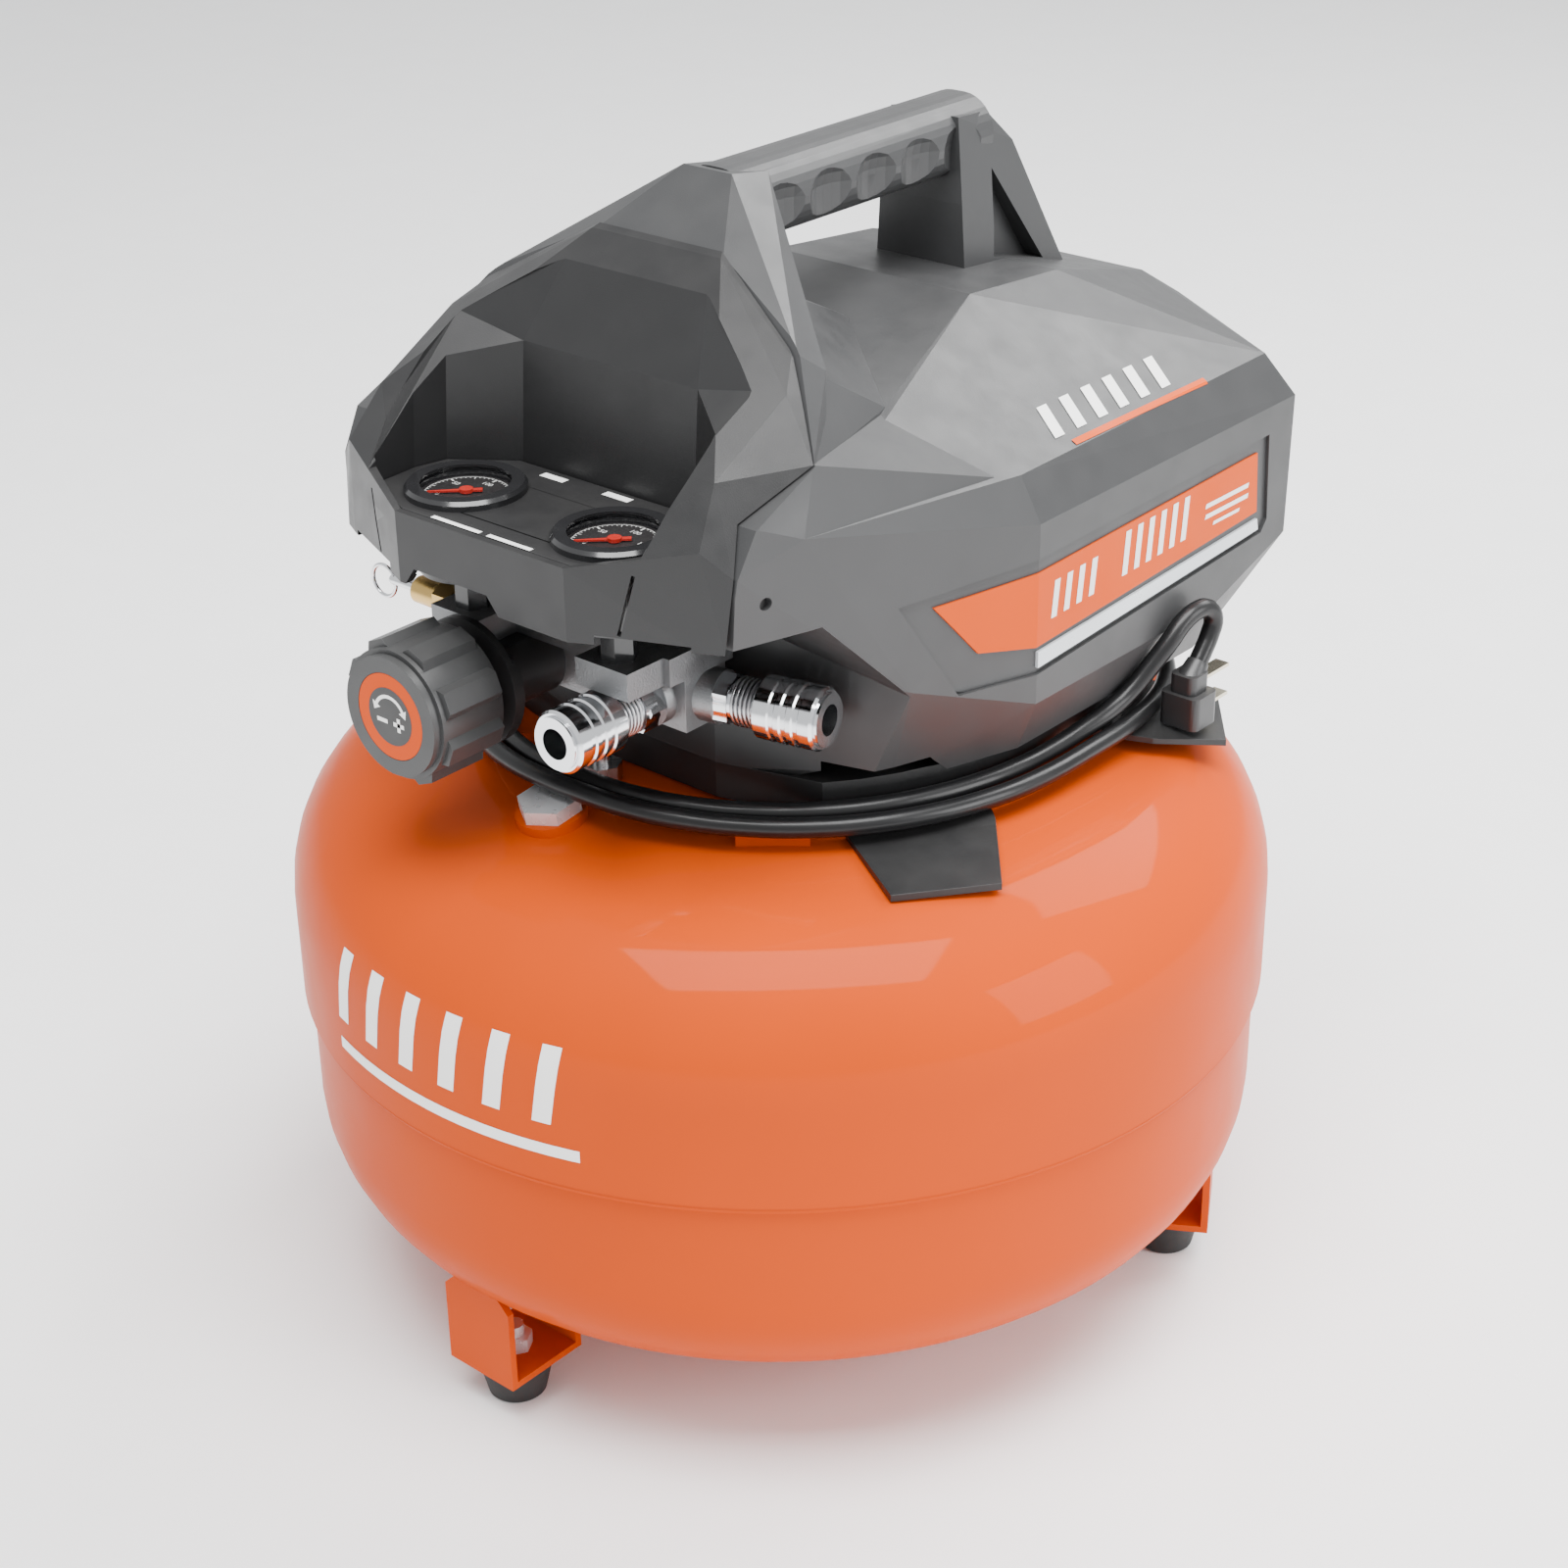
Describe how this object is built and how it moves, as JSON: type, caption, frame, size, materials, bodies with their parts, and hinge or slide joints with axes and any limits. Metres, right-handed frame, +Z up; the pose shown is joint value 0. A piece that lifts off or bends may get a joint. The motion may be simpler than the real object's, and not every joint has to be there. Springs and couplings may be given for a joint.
{
  "type": "pancake air compressor",
  "caption": "Portable air compressor with a squat tank on feet, a covered pump and motor with a carry handle, gauges, a regulator knob and quick couplers.",
  "frame": {"origin": "on the floor under the tank's axis", "axes": "+Z up, the gauges and the regulator knob face -Y, the side coupler points mostly along +X"},
  "size_m": [0.4059, 0.406, 0.478],
  "materials": {
    "tank_paint": "gloss orange enamel",
    "foot_rubber": "matt black rubber",
    "zinc_steel": "zinc plated",
    "cover_plastic": "fine-grained mid grey moulding",
    "hood_plastic": "fine-grained dark grey moulding",
    "label_print": "printed vinyl",
    "strip_silver": "satin silver foil",
    "screw_black": "black oxide",
    "gauge_black": "gloss black",
    "dial_face": "matt dark, with white marks",
    "lens_clear": "clear",
    "needle_red": "matt red",
    "cast_alloy": "as cast, lightly sand-textured",
    "chrome_steel": "bright chrome",
    "tube_steel": "drawn tube",
    "knob_plastic": "ribbed grey moulding",
    "badge_print": "printed disc",
    "brass_bar": "turned brass",
    "motor_steel": "laminated and ground steel",
    "copper_wire": "enamelled copper",
    "black_plastic": "satin black moulding",
    "red_plastic": "satin red moulding",
    "poppet_rubber": "moulded rubber",
    "cord_jacket": "glossy black jacket",
    "blade_metal": "nickel-plated"
  },
  "bodies": {
    "tank": {"tank_upper_shell": "tank_paint", "tank_lower_shell": "tank_paint", "tank_weld_bead": "tank_paint", "tank_bosses": "tank_paint", "foot_bracket_front": "tank_paint", "foot_bracket_right": "tank_paint", "foot_bracket_left": "tank_paint", "rubber_foot_front": "foot_rubber", "rubber_foot_right": "foot_rubber", "rubber_foot_left": "foot_rubber", "foot_fasteners": "zinc_steel", "shroud_straps": "tank_paint", "shroud_base": "hood_plastic", "main_shroud": "cover_plastic", "front_hood": "hood_plastic", "gauge_panel": "hood_plastic", "side_labels": "label_print", "trim_strips": "strip_silver", "cover_screws": "screw_black", "gauge_cases": "gauge_black", "gauge_bezels": "gauge_black", "gauge_dials": "dial_face", "gauge_lenses": "lens_clear", "manifold": "cast_alloy", "outlet_fitting": "zinc_steel", "air_tubes": "tube_steel", "regulator_body": "hood_plastic", "coupler_front": "chrome_steel", "sleeve_spring_front": "tube_steel", "coupler_side": "chrome_steel", "sleeve_spring_side": "tube_steel", "safety_valve": "brass_bar", "pressure_switch": "black_plastic", "check_valve": "brass_bar", "motor_stator": "motor_steel", "motor_windings": "copper_wire", "motor_bearings": "motor_steel", "motor_end_bracket": "cast_alloy", "crankcase": "cast_alloy", "pump_cylinder": "cast_alloy", "valve_plate": "motor_steel", "pump_head": "cast_alloy", "drain_valve": "brass_bar", "mains_cord": "cord_jacket", "strain_relief": "black_plastic", "plug_body": "black_plastic", "plug_blades": "blade_metal"},
    "needle_tank": {"needle_tank": "needle_red"},
    "needle_outlet": {"needle_outlet": "needle_red"},
    "knob": {"regulator_knob": "knob_plastic", "knob_badge": "badge_print"},
    "sleeve_front": {"sleeve_front": "chrome_steel"},
    "sleeve_side": {"sleeve_side": "chrome_steel"},
    "safety_ring": {"safety_pull_ring": "chrome_steel"},
    "switch_lever": {"switch_lever": "red_plastic"},
    "poppet": {"check_poppet": "poppet_rubber"},
    "rotor": {"motor_rotor": "motor_steel", "cooling_fan": "black_plastic"},
    "piston": {"piston_rod": "cast_alloy"},
    "drain_handle": {"drain_handle": "tank_paint"}
  },
  "joints": [
    {"name": "needle_tank_turn", "type": "hinge", "parent": "tank", "child": "needle_tank", "pos_m": [-0.038, -0.129, 0.37], "axis": [0, 0, -1], "range_deg": [0, 270]},
    {"name": "needle_outlet_turn", "type": "hinge", "parent": "tank", "child": "needle_outlet", "pos_m": [0.038, -0.129, 0.37], "axis": [0, 0, -1], "range_deg": [0, 270]},
    {"name": "knob_turn", "type": "hinge", "parent": "tank", "child": "knob", "pos_m": [-0.028, -0.16, 0.302], "axis": [0, -1, 0], "range_deg": [-720, 720]},
    {"name": "sleeve_front_slide", "type": "slide", "parent": "tank", "child": "sleeve_front", "axis": [0, 1, 0], "range_m": [0, 0.006], "stiffness_N_per_m": 600, "springref_m": -0.004, "deforming": ["sleeve_spring_front"]},
    {"name": "sleeve_side_slide", "type": "slide", "parent": "tank", "child": "sleeve_side", "axis": [-0.9781, -0.2079, 0], "range_m": [0, 0.006], "stiffness_N_per_m": 600, "springref_m": -0.004, "deforming": ["sleeve_spring_side"]},
    {"name": "safety_ring_pull", "type": "slide", "parent": "tank", "child": "safety_ring", "axis": [-1, 0, 0], "range_m": [0, 0.003], "stiffness_N_per_m": 400, "springref_m": -0.004},
    {"name": "switch_lever_turn", "type": "hinge", "parent": "tank", "child": "switch_lever", "pos_m": [-0.1, -0.066, 0.336], "axis": [1, 0, 0], "range_deg": [0, 50]},
    {"name": "poppet_lift", "type": "slide", "parent": "tank", "child": "poppet", "axis": [-0.0471, -0.033, 0.9983], "range_m": [0, 0.002]},
    {"name": "rotor_spin", "type": "hinge", "parent": "tank", "child": "rotor", "pos_m": [0.024, 0.1, 0.318], "axis": [0, 1, 0], "continuous": true},
    {"name": "piston_pin", "type": "hinge", "parent": "rotor", "child": "piston", "pos_m": [0.019, 0.024, 0.318], "axis": [0, 1, 0], "continuous": true},
    {"name": "drain_turn", "type": "hinge", "parent": "tank", "child": "drain_handle", "pos_m": [0, 0.015, 0.022], "axis": [0, 1, 0], "range_deg": [0, 90]}
  ],
  "couplings": [
    {"joint": "piston_pin", "follows": "rotor_spin", "ratio": -1}
  ]
}
